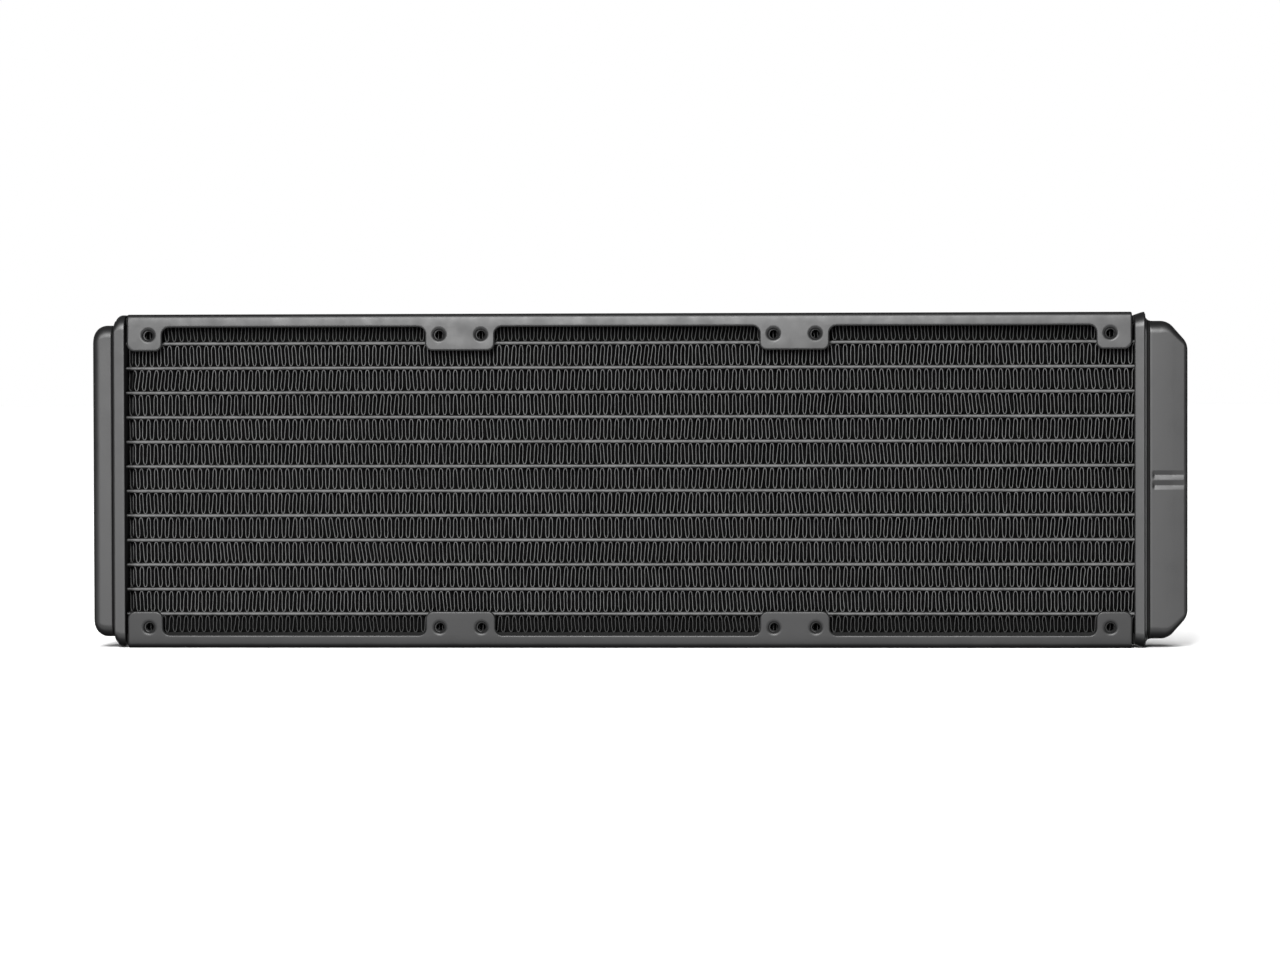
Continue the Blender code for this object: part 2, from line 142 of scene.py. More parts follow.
# Ports.
PORT_STEPS = 96
PORT_MAJOR = 6.6 * MM
PORT_THREAD = 0.86 * MM
PORT_PITCH = 1.337 * MM
PORT_HOLE = 9.1 * MM
HOLE_RIM = ((0, 0.25), (0.08, 0.08), (0.25, 0))  # mm: (below the face, wider than the hole)
BUSH_LENGTH = 7 * MM
BUSH_CHAMFER = 0.3 * MM
BUSH_COLLAR = 1 * MM
BUSH_COLLAR_SPAN = (1.3 * MM, 3.3 * MM)  # below the bush's face
BUSH_COLLAR_EDGE = 0.2 * MM
PORT_MOUTH = ((0.62, 0), (0.54, 0.03), (0.45, 0.12), (0, 0.6))  # mm: (wider than the thread, below the face)

# Tubes and core bars.
TUBE_STEPS = 90
TUBE_WALL = 0.3 * MM
TUBE_SWAY = 0.03 * MM
NOSE_SWAY = 0.05 * MM
SWAY_WINDOW = 5
BAR_GAP = 0.05 * MM
BAR_BEND = 0.9 * MM
BAR_CREASE = 0.2 * MM
BAR_EDGE = 0.15 * MM

# Fins.
END_GAP = 0.1 * MM
FLAG_WIDTH = 2.6 * MM
FLAG_OVERLAP = 0.05 * MM
FIN_FOIL = 0.22 * MM
FIN_PITCH = 2.65 * MM
FIN_BOW = 1.95 * MM
FIN_ROWS = (-1, -0.85, -0.68, -0.4, 0, 0.4, 0.68, 0.85, 1)  # places across the strip's depth
# How much the folds of a strip differ, as the spread of random draws.
CREST_DRIFT = 0.05 * MM
CREST_SCATTER = 0.05 * MM
LEAN_DRIFT = 0.1 * MM
CREST_DIP = 0.04 * MM
LOOP_SCATTER = 0.05
LEG_BEND = 0.04 * MM
KNEE_SCATTER = 0.3 * MM
# Half a loop, as (share of half a leg gap, drop): pinched at the cut edges, square inside.
PINCHED = ((0.27, 0.07 * MM), (0.58, 0.36 * MM), (0.85, 0.85 * MM), (1.0, 1.5 * MM))
SQUARE = ((0.5, -0.15 * MM), (0.92, -0.13 * MM), (1.0, 0.1 * MM), (1.0, 1.5 * MM))

# The faces of a box whose corners are listed by X, then Y, then Z.
BOX_FACES = ((0, 1, 3, 2), (4, 6, 7, 5), (0, 4, 5, 1), (2, 3, 7, 6), (0, 2, 6, 4), (1, 5, 7, 3))

# Studio.
FLOOR_SIZE = 12
FLOOR_DROP = 0.02 * MM
CARD_SIZE = (1.2, 0.6)
CARD_GAP = 2 * MM
CARD_LIFT = 0.5 * MM
LENS = 150.2
SENSOR = 36
VIEW_AZIMUTH = math.radians(3.2)
VIEW_ELEVATION = math.radians(1.2)
VIEW_DISTANCE = 1.925
VIEW_TARGET = Vector((0.4 * MM, 0, MIDDLE_Z))
VIEW_ROLL = math.radians(-0.14)

random = np.random.default_rng(12)


# ---------------------------------------------------------------- mesh helpers


class Shell:
    """Collects rings of points and the faces between them."""

    def __init__(self):
        self.points = []
        self.faces = []

    def ring(self, points):
        start = len(self.points)
        self.points.extend(points)
        return list(range(start, len(self.points)))

    def bridge(self, rings):
        """Quads between neighbouring closed rings of equal length."""
        for first, second in zip(rings, rings[1:]):
            for i in range(len(first)):
                j = (i + 1) % len(first)
                self.faces.append((first[i], first[j], second[j], second[i]))

    def fill(self, loops, plane):
        """Triangles between an outer loop and the round holes in it, in the plane of two axes."""
        ids = [i for loop in loops for i in loop]
        owner = {i: k for k, loop in enumerate(loops) for i in loop}
        flat = [Vector([self.points[i][axis] / MM for axis in plane]) for i in ids]
        edges, start = [], 0
        for loop in loops:
            count = len(loop)
            edges += [(start + k, start + (k + 1) % count) for k in range(count)]
            start += count
        _, _, triangles, origin, _, _ = delaunay_2d_cdt(flat, edges, [], 1, 1e-6)
        for triangle in triangles:
            face = [ids[origin[v][0]] for v in triangle]
            # A triangle with all its corners on one hole is inside that hole.
            if {owner[i] for i in face} in ({k} for k in range(1, len(loops))):
                continue
            self.faces.append(face)

    def mesh(self, name):
        bm = bmesh.new()
        verts = [bm.verts.new(p) for p in self.points]
        for face in self.faces:
            bm.faces.new([verts[i] for i in face])
        bmesh.ops.recalc_face_normals(bm, faces=bm.faces)
        mesh = bpy.data.meshes.new(name)
        bm.to_mesh(mesh)
        bm.free()
        return mesh


def add_piece(name, mesh, looks, slot, *nodes, sharp=38):
    """An object from a mesh that rides on the part and stands for CAD nodes."""
    obj = bpy.data.objects.new(name, mesh)
    bpy.context.scene.collection.objects.link(obj)
    for look in looks:
        mesh.materials.append(look)
    mesh.shade_smooth()
    mesh.set_sharp_from_angle(angle=math.radians(sharp))
    weighted = obj.modifiers.new("flat_faces", "WEIGHTED_NORMAL")
    weighted.keep_sharp = True
    weighted.weight = 80
    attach(obj, "root")
    if nodes:
        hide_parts(*nodes)
    return obj


def fillet(corners, segments=8):
    """Rounds the corners of an outline of (x, y, radius) and returns (x, y) points."""
    rounded = []
    for i, (x, y, radius) in enumerate(corners):
        corner = Vector((x, y))
        if radius == 0:
            rounded.append(corner)
            continue
        before = (Vector(corners[i - 1][:2]) - corner).normalized()
        after = (Vector(corners[(i + 1) % len(corners)][:2]) - corner).normalized()
        half = before.angle(after) / 2
        centre = corner + (before + after).normalized() * radius / math.sin(half)
        start = corner + before * radius / math.tan(half) - centre
        end = corner + after * radius / math.tan(half) - centre
        for step in range(segments + 1):
            swing = start.angle_signed(end) * step / segments
            rounded.append(centre + Matrix.Rotation(-swing, 2) @ start)
    return rounded


def quarter(start, end, steps, bulge=True):
    """Points of a quarter ellipse between two (a, b) points; it leaves the start along b's line."""
    points = []
    for step in range(steps + 1):
        angle = math.pi / 2 * step / steps
        first, second = (math.sin(angle), 1 - math.cos(angle))
        if not bulge:
            first, second = second, first
        a = start[0] + (end[0] - start[0]) * first
        b = start[1] + (end[1] - start[1]) * second
        points.append((a, b))
    return points


def share_of(value, start, end):
    """How far a value is from start to end, from 0 to 1."""
    return min(1, max(0, (value - start) / (end - start)))


def thread_rows(start, end, pitch):
    """Heights along a thread, eight to a turn."""
    count = max(2, round(abs(end - start) / pitch * 8))
    return [start + (end - start) * i / count for i in range(count + 1)]


def turned_ring(radius, height, steps, thread=0.0, pitch=1.0):
    """(radius, angle, height) of the points round one ring, with a V thread cut below the radius."""
    points = []
    for i in range(steps):
        angle = 2 * math.pi * i / steps
        phase = (height / pitch + i / steps) % 1.0
        crest = 1 - abs(2 * phase - 1)
        # The crests and roots of a rolled thread are a little flat.
        crest = min(max(1.25 * crest - 0.125, 0), 1)
        points.append((radius - thread * crest, angle, height))
    return points


# ---------------------------------------------------------------- side plates


def fan_centres():
    return [FRAME_X + i * FAN_SIZE for i in (-1, 0, 1)]


def bend_line():
    """Along the sheet's middle from the edge of the web: length, angle, across and height."""
    step = 0.02 * MM
    length = np.arange(0, PLATE_HIGH.z * 1.2, step)
    middle = BEND_RADIUS - PLATE_SHEET / 2
    tight = math.pi / 2 - SPLAY - EASE
    past = np.clip(length - middle * tight, 0, None)
    angle = np.minimum(length / middle, tight) + EASE * (1 - np.exp(-past / EASE_LENGTH))
    across = np.cumsum(np.cos(angle)) * step
    height = PLATE_SHEET / 2 + np.cumsum(np.sin(angle)) * step
    return length, angle, across, height


BEND_LINE = bend_line()
TIP_ACROSS = np.interp(PLATE_HIGH.z, BEND_LINE[3], BEND_LINE[2]) + PLATE_SHEET / 2
WEB_HALF = PLATE_HIGH.y - float(TIP_ACROSS)


def unfold_height(z):
    """Where a height on the flange lies on the flat sheet, from the middle of the web."""
    return WEB_HALF + float(np.interp(z, BEND_LINE[3], BEND_LINE[0]))


def fold(point):
    """Folds a point of the flat sheet, (x, across, out), into the channel."""
    x, across, out = point
    past = abs(across) - WEB_HALF
    if past <= 0:
        return (x, across, PLATE_SHEET / 2 - out)
    angle, y, z = (float(np.interp(past, BEND_LINE[0], values)) for values in BEND_LINE[1:])
    y += WEB_HALF + out * math.sin(angle)
    return (x, math.copysign(y, across), z - out * math.cos(angle))


def plate_outline(inset):
    """The outline of the flat sheet, drawn in by inset."""
    window = FAN_HOLE_SPACING / 2 - TAB_MARGIN + inset
    tab = unfold_height(PLATE_HIGH.z) - inset
    flange = unfold_height(FLANGE_HEIGHT) - inset
    convex, concave = TAB_RADIUS - inset, TAB_RADIUS + inset
    one_side = [(PLATE_LOW.x + inset, tab, convex)]
    for x in fan_centres():
        one_side += [
            (x - window, tab, convex),
            (x - window, flange, concave),
            (x + window, flange, concave),
            (x + window, tab, convex),
        ]
    one_side.append((PLATE_HIGH.x - inset, tab, convex))
    other_side = [(x, -across, radius) for x, across, radius in reversed(one_side)]
    return fillet(one_side + other_side)


def screw_profile():
    """(radius, out, thread) down the funnel, along the thread and back up outside the collar."""
    top = PLATE_SHEET / 2
    neck = top - FUNNEL_DEPTH
    tip = top - COLLAR_LENGTH
    first, last = neck - LEAD_CONE, tip + COLLAR_CHAMFER
    funnel = quarter((FUNNEL_NECK, neck), (FUNNEL_RADIUS, top), FUNNEL_STEPS, bulge=False)
    rows = [(radius, out, 0) for radius, out in reversed(funnel)]
    rows.append((SCREW_MAJOR, first, 0))
    for out in thread_rows(first - THREAD_RUNOUT, last + THREAD_RUNOUT, SCREW_PITCH):
        rows.append((SCREW_MAJOR, out, SCREW_THREAD))
    rows.append((SCREW_MAJOR, last, 0))
    rows += [(SCREW_MAJOR + past * MM, tip + up * MM, 0) for past, up in COLLAR_LIP]
    rows += [(SCREW_MAJOR + past * MM, -top - down * MM, 0) for past, down in COLLAR_ROOT]
    return rows


def screw_collar(shell, x, across):
    """A pressed and threaded collar. Returns its loops on the outer and the inner face."""
    rings = []
    for radius, out, thread in screw_profile():
        ring = turned_ring(radius, out, COLLAR_STEPS, thread, SCREW_PITCH)
        points = [(x + r * math.cos(a), across + r * math.sin(a), h) for r, a, h in ring]
        rings.append(shell.ring(points))
    shell.bridge(rings)
    return rings[0], rings[-1]


def sheet_edge():
    """(inset, out) round the sheet's rolled edge, from its outer face to its inner one."""
    half = PLATE_SHEET / 2
    outer = quarter((0, OUTER_EDGE), (OUTER_EDGE, 0), EDGE_STEPS)
    inner = quarter((0, 0), (INNER_EDGE, INNER_EDGE), 2, bulge=False)
    edge = [(OUTER_EDGE - a, half - OUTER_EDGE + b) for a, b in outer]
    return edge + [(a, -half + INNER_EDGE - b) for a, b in inner]


def flat_sheet():
    """The bottom plate before it is folded: a sheet with rolled edges and threaded collars."""
    shell = Shell()
    rings = []
    for inset, out in sheet_edge():
        rings.append(shell.ring([(x, across, out) for x, across in plate_outline(inset)]))
    shell.bridge(rings)
    outer, inner = [rings[0]], [rings[-1]]
    hole = unfold_height((2 * MIDDLE_Z - FAN_HOLE_SPACING) / 2)
    for x in fan_centres():
        for side in (-1, 1):
            for across in (-hole, hole):
                top, bottom = screw_collar(shell, x + side * FAN_HOLE_SPACING / 2, across)
                outer.append(top)
                inner.append(bottom)
    shell.fill(outer, (0, 1))
    shell.fill(inner, (0, 1))
    return shell.mesh("side_plate")


def bend_cuts():
    """How far past the web's edge the sheet needs points to bend."""
    tight = (math.pi / 2 - SPLAY) * (BEND_RADIUS - PLATE_SHEET / 2)
    cuts = [tight * step / BEND_STEPS for step in range(BEND_STEPS + 1)]
    return cuts + [tight + share * EASE_LENGTH for share in EASE_CUTS]


def side_plate_mesh():
    """The bottom plate, folded into its channel."""
    mesh = flat_sheet()
    bm = bmesh.new()
    bm.from_mesh(mesh)
    for past in bend_cuts():
        for across in (-WEB_HALF - past, WEB_HALF + past):
            everything = bm.verts[:] + bm.edges[:] + bm.faces[:]
            bmesh.ops.bisect_plane(
                bm, geom=everything, dist=1e-7, plane_co=(0, across, 0), plane_no=(0, 1, 0)
            )
    for vert in bm.verts:
        vert.co = fold(vert.co)
    bmesh.ops.recalc_face_normals(bm, faces=bm.faces)
    bm.to_mesh(mesh)
    bm.free()
    return mesh


# ---------------------------------------------------------------- headers and tanks


def groove_sink(z):
    """How deep the two pressed grooves are at a height above the tank's middle."""
    sink = 0
    for centre in (-GROOVE_SPACING / 2, GROOVE_SPACING / 2):
        near = 1 - abs(z - centre) / GROOVE_REACH
        if near > 0:
            sink = max(sink, GROOVE_DEPTH * near**1.1)
    return sink


def groove_levels():
    """The heights at which a tank's broad faces have points."""
    levels = set()
    for centre in (-GROOVE_SPACING / 2, GROOVE_SPACING / 2):
        for way in (-1, 1):
            levels |= {round(centre + way * share * GROOVE_REACH, 6) for share in GROOVE_CUTS}
    return sorted(levels, reverse=True)


def section(x, half_y, half_z, radius, levels=(), sunk=0):
    """A rounded rectangle across X, with points on its broad sides where the grooves are."""
    points = []
    for turn, (y_sign, z_sign) in enumerate(((1, 1), (1, -1), (-1, -1), (-1, 1))):
        start = math.radians(90 - 90 * turn)
        for step in range(CORNER_STEPS + 1):
            angle = start - math.pi / 2 * step / CORNER_STEPS
            y = y_sign * (half_y - radius) + radius * math.cos(angle)
            z = z_sign * (half_z - radius) + radius * math.sin(angle)
            points.append((x, y, MIDDLE_Z + z))
        if turn == 0:
            points += [(x, half_y - sunk * groove_sink(z), MIDDLE_Z + z) for z in levels]
        if turn == 2:
            for z in reversed(levels):
                points.append((x, -half_y + sunk * groove_sink(z), MIDDLE_Z + z))
    return points


def slot_loop(x, low, high, ease):
    """A loop round a flat tube."""
    half_y, half_z = high.y + ease, (high.z - low.z) / 2 + ease
    points = section(x, half_y, half_z, half_z * 0.98)
    shift = (low.z + high.z) / 2 - MIDDLE_Z
    return [(x, y, z + shift) for x, y, z in points]


def header_rings(side):
    """(from the core, inset in Y, inset in Z) in mm, over a header plate's outside and back inside."""
    if side > 0:
        outside = [
            (0, 0.7, 1.3),
            (0.08, 0.5, 1.1),
            (0.3, 0.36, 0.92),
            (2.9, 0.03, 0.05),
            (3.25, 0, 0),
            (3.4, 0.02, 0.02),
            (3.52, 0.1, 0.1),
            (3.58, 0.25, 0.25),
        ]
        inside = [(3.58, 0.95, 0.95), (3.3, 1.05, 1.1), (1.6, 1.3, 1.9), (1.1, 1.8, 2.4), (1.0, 2.4, 3.0)]
    else:
        bend, length, turn_in = RIM_BEND
        outside = [(0, 0.3, 0.3), (0.08, 0.1, 0.1), (0.3, 0, 0), (bend, 0, 0)]
        for step in range(1, RIM_STEPS):
            share = step / RIM_STEPS
            outside.append((bend + length * share, 0, turn_in * (1 - math.sqrt(1 - share**2))))
        outside += [(3.66, 0, 2.15), (3.84, 0.08, 2.5), (3.94, 0.25, 2.75), (3.95, 0.45, 2.95)]
        inside = [(3.9, 1.0, 3.4), (3.4, 1.05, 3.3), (2.4, 1.05, 1.9), (1.6, 1.1, 1.5), (1.0, 1.6, 2.0)]
    return outside + inside


def header_plate(side, name, looks):
    """A tray with a slot round each tube; the tank's foot stands inside its rim."""
    shell = Shell()
    rings = []
    for out, inset_y, inset_z in header_rings(side):
        x = CORE_FACE[side] + side * out * MM
        half_y = HEADER_HALF_Y - inset_y * MM
        half_z = HEADER_HALF_Z[side] - inset_z * MM
        radius = HEADER_RADIUS - (inset_y + inset_z) / 2 * MM
        rings.append(shell.ring(section(x, half_y, half_z, radius)))
    shell.bridge(rings)
    core_side, tank_side = [rings[0]], [rings[-1]]
    for low, high in TUBES:
        loops = []
        for x in (shell.points[rings[0][0]][0], shell.points[rings[-1][0]][0]):
            loops.append(shell.ring(slot_loop(x, low, high, SLOT_EASE)))
        shell.bridge(loops)
        core_side.append(loops[0])
        tank_side.append(loops[1])
    shell.fill(core_side, (1, 2))
    shell.fill(tank_side, (1, 2))
    mesh = shell.mesh(name)
    # Painted shade: the faces flat on the core side, seen in the shadowed gap beside the fins, take the
    # near-black second look.
    for polygon in mesh.polygons:
        reach = max(abs(mesh.vertices[v].co.x - CORE_FACE[side]) for v in polygon.vertices)
        polygon.material_index = int(reach < 0.01 * MM)
    add_piece(f"{name}_tray", mesh, looks, "tank_paint", name)


def return_tank_outline(inset):
    """The return tank's front view, upper half: one rounded corner. Also its end edge's radius."""
    end = abs(TANK_END[-1] - FRAME_X) - inset
    return [(end, RETURN_TANK_HALF_Z - inset, RETURN_TANK_RADIUS - inset)], RETURN_TANK_EDGE


def port_tank_outline(inset):
    """The port tank's front view, upper half: one cut corner. Also its end edge's radius."""
    end = abs(TANK_END[1] - FRAME_X) - inset
    half = PORT_TANK_HALF_Z - inset
    cut_x, cut_z = PORT_TANK_CUT
    slope = math.atan2(cut_x, cut_z)
    cut_x -= inset * math.tan(math.pi / 4 - slope / 2)
    cut_z -= inset * math.tan(slope / 2)
    radius = PORT_TANK_RADIUS - inset
    return [(end - cut_x, half, radius), (end, half - cut_z, radius)], PORT_TANK_EDGE


def shoulder_drop(out):
    """How far the port tank's short sides have come in, in mm, at a distance from the core side."""
    return 0.45 + 2.8 * math.sqrt(1 - (1 - min(1, (out - 3.5) / 2.75)) ** 2)


def tank_neck(side):
    """(from the core, inset in Y, inset in Z) in mm, from the foot in the header's rim to the body."""
    if side > 0:
        foot = [(1.3, 1.3, 1.7), (3.4, 1.3, 1.7), (3.66, 0.9, 1.2), (3.72, 0.62, 0.75), (3.8, 0.5, 0.6)]
        lip = [(3.95, 0.48), (4.15, 0.5), (4.25, 0.56), (4.33, 0.75)]
        groove = [(4.41, 2.4), (4.75, 3.6), (5.05, 3.0), (5.24, 2.3), (5.36, 1.85), (5.48, 1.66)]
        body = [(5.7, 1.6), (6.3, 1.6)]
        return foot + [(out, inset, shoulder_drop(out)) for out, inset in lip + groove + body]
    foot = [(1.3, 1.3, 1.7), (2.6, 1.35, 2.6), (3.5, 2.6, 3.7)]
    groove = [(4.2, 3.8, 3.9), (4.5, 2.9, 3.85), (4.75, 2.15, 3.75), (4.87, 1.85, 3.7)]
    return foot + groove + [(5.02, 1.68, 3.7), (5.3, 1.6, 3.7)]


def neck_sections(side, body_half_z, inset):
    """The sections of a tank's neck; inside, a plain hollow with as many sections."""
    core = abs(CORE_FACE[side] - FRAME_X)
    rows = []
    for out, inset_y, inset_z in tank_neck(side):
        half_y, half_z, radius = TANK_HALF_Y - inset, body_half_z, TANK_RADIUS - inset
        if inset == 0:
            half_y = HEADER_HALF_Y - inset_y * MM
            half_z = HEADER_HALF_Z[side] - inset_z * MM
            radius += max(0, 1.6 - inset_y) * 0.6 * MM
        rows.append((core + out * MM, half_y, half_z, radius, 0))
    return rows


def tank_sections(side, outline, inset):
    """(x, half depth, half height, radius, how much of the grooves) along a tank."""
    corners, edge = outline(inset)
    end, half = corners[-1][0], corners[0][1]
    edge -= inset
    rows = neck_sections(side, half, inset)
    start = rows[-1][0]
    profile = fillet([(start, half, 0), *corners, (end, 0, 0), (start, 0, 0)], PROFILE_STEPS)
    profile = [(x, z) for x, z in profile if z > 0][1:]
    turn = profile[0][0]
    # Even sections along the straight part, where the grooves fade in.
    straight = [start + (turn - start) * i / STRAIGHT_SECTIONS for i in range(1, STRAIGHT_SECTIONS)]
    for x, half_z in [(x, half) for x in straight] + profile:
        past = min(max(0, x - (end - edge)), edge)
        shrink = edge - math.sqrt(edge**2 - past**2)
        crown, taper, sunk = 0, 0, 0
        if side > 0:
            crown = TANK_CROWN * ((x - start) / (end - start)) ** 2
            taper = CUT_TAPER * share_of(x, turn, end)
        if side > 0 and inset == 0:
            last = end - GROOVE_END_GAP
            sunk = share_of(x, start, start + GROOVE_FADE_IN)
            sunk *= 1 - share_of(x, last - GROOVE_FADE_OUT, last)
        half_y = TANK_HALF_Y - crown - inset - shrink
        radius = TANK_RADIUS * (1 - taper) - inset
        rows.append((x, half_y, half_z, max(radius - shrink, LEAST_RADIUS), sunk))
    return rows


def port_hole(shell, port, outside, inside):
    """A hole with a soft rim through the tank's end. Returns its loops outside and inside."""
    low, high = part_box(f"port_bush_{port}")
    middle = (low.z + high.z) / 2
    rows = [(outside - depth * MM, PORT_HOLE + wider * MM) for depth, wider in HOLE_RIM]
    rings = []
    for x, radius in rows + [(inside, PORT_HOLE)]:
        ring = turned_ring(radius, 0, PORT_STEPS)
        points = [(x, r * math.cos(a), middle + r * math.sin(a)) for r, a, _ in ring]
        rings.append(shell.ring(points))
    shell.bridge(rings)
    return rings[0], rings[-1]


def tank(side, name, outline, looks):
    """A drawn shell with a lip and a groove at its neck; the port tank also has two holes."""
    shell = Shell()
    levels = groove_levels()
    walls = []
    for inset in (0, TANK_WALL):
        rings = []
        for x, half_y, half_z, radius, sunk in tank_sections(side, outline, inset):
            place = FRAME_X + side * x
            rings.append(shell.ring(section(place, half_y, half_z, radius, levels, sunk)))
        shell.bridge(rings)
        walls.append(rings)
    shell.bridge([walls[0][0], walls[1][0]])
    outer, inner = [walls[0][-1]], [walls[1][-1]]
    if side > 0:
        outside, inside = [shell.points[wall[-1][0]][0] for wall in walls]
        for port in ("upper", "lower"):
            face, back = port_hole(shell, port, outside, inside)
            outer.append(face)
            inner.append(back)
    shell.fill(outer, (1, 2))
    shell.fill(inner, (1, 2))
    mesh = shell.mesh(name)
    # Painted shade: the faces deep in the neck's groove take the near-black second look.
    for polygon in mesh.polygons:
        out = abs(polygon.center.x - CORE_FACE[side]) / MM
        deep = HEADER_HALF_Y - abs(polygon.center.y) > NECK_DEPTH
        polygon.material_index = int(deep and NECK[side][0] < out < NECK[side][1])
    add_piece(f"{name}_shell", mesh, looks, "tank_paint", name, sharp=28)


def bush_profile(collar):
    """(radius, out, thread) from the bore's inner end, round the outside, to the bore's mouth."""
    outside = collar - BUSH_COLLAR
    top, foot = BUSH_COLLAR_SPAN
    rows = [
        (PORT_MAJOR, -BUSH_LENGTH + 0.1 * MM, 0),
        (PORT_MAJOR + BUSH_CHAMFER, -BUSH_LENGTH, 0),
        (outside - BUSH_CHAMFER, -BUSH_LENGTH, 0),
        (outside, -BUSH_LENGTH + BUSH_CHAMFER, 0),
        (outside, -foot, 0),
        (collar - BUSH_COLLAR_EDGE, -foot, 0),
        (collar, -foot + BUSH_COLLAR_EDGE, 0),
        (collar, -top - BUSH_COLLAR_EDGE, 0),
        (collar - BUSH_COLLAR_EDGE, -top, 0),
        (outside, -top, 0),
        (outside, -BUSH_CHAMFER, 0),
        (outside - 0.3 * BUSH_CHAMFER, -0.3 * BUSH_CHAMFER, 0),
        (outside - BUSH_CHAMFER, 0, 0),
    ]
    return rows + [(PORT_MAJOR + wider * MM, -depth * MM, 0) for wider, depth in PORT_MOUTH]


def port_bush(port, looks):
    """A turned bush: black outside, with a bright pipe thread inside."""
    low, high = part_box(f"port_bush_{port}")
    middle = (low.z + high.z) / 2
    rows = bush_profile(high.y)
    painted = len(rows) - 2
    for out in thread_rows(-0.7 * MM, -6.7 * MM, PORT_PITCH):
        # The thread runs out at both ends.
        reach = min(1, (-out - 0.6 * MM) / (0.5 * MM), (6.8 * MM + out) / (0.4 * MM))
        rows.append((PORT_MAJOR, out, PORT_THREAD * max(0, reach)))
    shell = Shell()
    rings = []
    for radius, out, thread in rows:
        ring = turned_ring(radius, out, PORT_STEPS, thread, PORT_PITCH)
        points = [(high.x + h, r * math.cos(a), middle + r * math.sin(a)) for r, a, h in ring]
        rings.append(shell.ring(points))
    shell.bridge(rings + rings[:1])
    mesh = shell.mesh(f"port_bush_{port}")
    for polygon in mesh.polygons:
        polygon.material_index = int(polygon.index >= painted * PORT_STEPS)
    add_piece(f"port_thread_{port}", mesh, looks, "port_brass", f"port_bush_{port}", sharp=50)


# ---------------------------------------------------------------- core


def flat_tube(index, low, high, look):
    """A hollow flat tube whose round noses waver a little, as rolled and dipped tubes do."""
    shell = Shell()
    half_z = (high.z - low.z) / 2
    shift = (low.z + high.z) / 2 - MIDDLE_Z
    ends = SWAY_WINDOW // 2 * 2
    draws = random.normal(0, 1, TUBE_STEPS + 2 * ends + 1)
    sway = np.convolve(draws, np.ones(SWAY_WINDOW) / SWAY_WINDOW, "same")
    walls = []
    for inset in (0, TUBE_WALL):
        rings = []
        for i in range(TUBE_STEPS + 1):
            x = low.x + (high.x - low.x) * i / TUBE_STEPS
            half_y = high.y - inset - abs(sway[i]) * NOSE_SWAY
            height = half_z - inset
            lift = shift + sway[i + ends] * TUBE_SWAY
            points = section(x, half_y, height, height * 0.98)
            rings.append(shell.ring([(x, y, z + lift) for x, y, z in points]))
        shell.bridge(rings)
        walls.append(rings)
    shell.bridge([walls[0][0], walls[1][0]])
    shell.bridge([walls[0][-1], walls[1][-1]])
    name = f"flat_tube_{index:02d}"
    add_piece(f"{name}_drawn", shell.mesh(name), [look], "core_paint", name)


def core_bar(name, way, look):
    """A flat bar along the core, with its ends turned out to the side plate."""
    low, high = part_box(name)
    inner, outer = (low.z, high.z) if way > 0 else (high.z, low.z)
    web = (CAD_BOX[1].z if way > 0 else CAD_BOX[0].z) - way * (PLATE_SHEET + BAR_GAP)
    left, right = CORE_FACE[-1] + BAR_GAP, CORE_FACE[1] - BAR_GAP
    thick = high.z - low.z
    outline = [
        (left, inner, BAR_BEND),
        (right, inner, BAR_BEND),
        (right, web, BAR_EDGE),
        (right - thick, web, BAR_EDGE),
        (right - thick, outer, BAR_CREASE),
        (left + thick, outer, BAR_CREASE),
        (left + thick, web, BAR_EDGE),
        (left, web, BAR_EDGE),
    ]
    shell = Shell()
    rings = []
    for y in (low.y, high.y):
        rings.append(shell.ring([(x, y, z) for x, z in fillet(outline, 3)]))
    shell.bridge(rings)
    for ring in rings:
        shell.fill([ring], (0, 2))
    add_piece(f"{name}_strip", shell.mesh(name), [look], "core_paint", name)


def drifting(count, window, size):
    """Random values that change slowly along a row."""
    values = random.normal(0, 1, count + window - 1)
    return np.convolve(values, np.ones(window) / math.sqrt(window), "valid") * size


def fin_path(length, height):
    """The front view of a folded strip: pointed loops, and legs that lean and bow a little."""
    folds = round(length / FIN_PITCH)
    count = 2 * folds + 1
    step = length / (2 * folds)
    up = np.where(np.arange(count) % 2, -1, 1)
    crest_x = np.arange(count) * step - length / 2
    crest_x = crest_x + drifting(count, 15, CREST_DRIFT) + random.normal(0, CREST_SCATTER, count)
    crest_x = crest_x + up * drifting(count, 21, LEAN_DRIFT)
    crest_x[0], crest_x[-1] = -length / 2, length / 2
    top = height / 2 - FIN_FOIL / 2
    crest_z = up * (top - np.abs(random.normal(0, CREST_DIP, count)))
    wide = (1 + random.normal(0, LOOP_SCATTER, count)) * step / 2
    bend = random.normal(0, LEG_BEND, count)
    knee = random.normal(0, KNEE_SCATTER, count)
    paths = []
    for loop in (PINCHED, SQUARE):
        path = []
        for i in range(count):
            side = [(share * wide[i], up[i] * drop) for share, drop in loop]
            if i > 0:
                x = crest_x[i] - side[-1][0]
                path.append(((path[-1][0] + x) / 2 + bend[i], knee[i]))
                path += [(crest_x[i] - out, crest_z[i] - drop) for out, drop in reversed(side)]
            path.append((crest_x[i], crest_z[i]))
            if i < count - 1:
                path += [(crest_x[i] + out, crest_z[i] - drop) for out, drop in side]
        paths.append(np.array(path))
    return paths


def thickened(path):
    """The two faces of a foil along a path."""
    along = np.gradient(path, axis=0)
    along /= np.linalg.norm(along, axis=1)[:, None]
    normal = np.stack([-along[:, 1], along[:, 0]], 1)
    return [path + normal * FIN_FOIL * face for face in (-0.5, 0.5)]


def grid_faces(first, second, turned):
    """Quads between two rows of vertex numbers."""
    quads = [first[:-1], first[1:], second[1:], second[:-1]]
    return np.stack(quads[::-1] if turned else quads, 1)


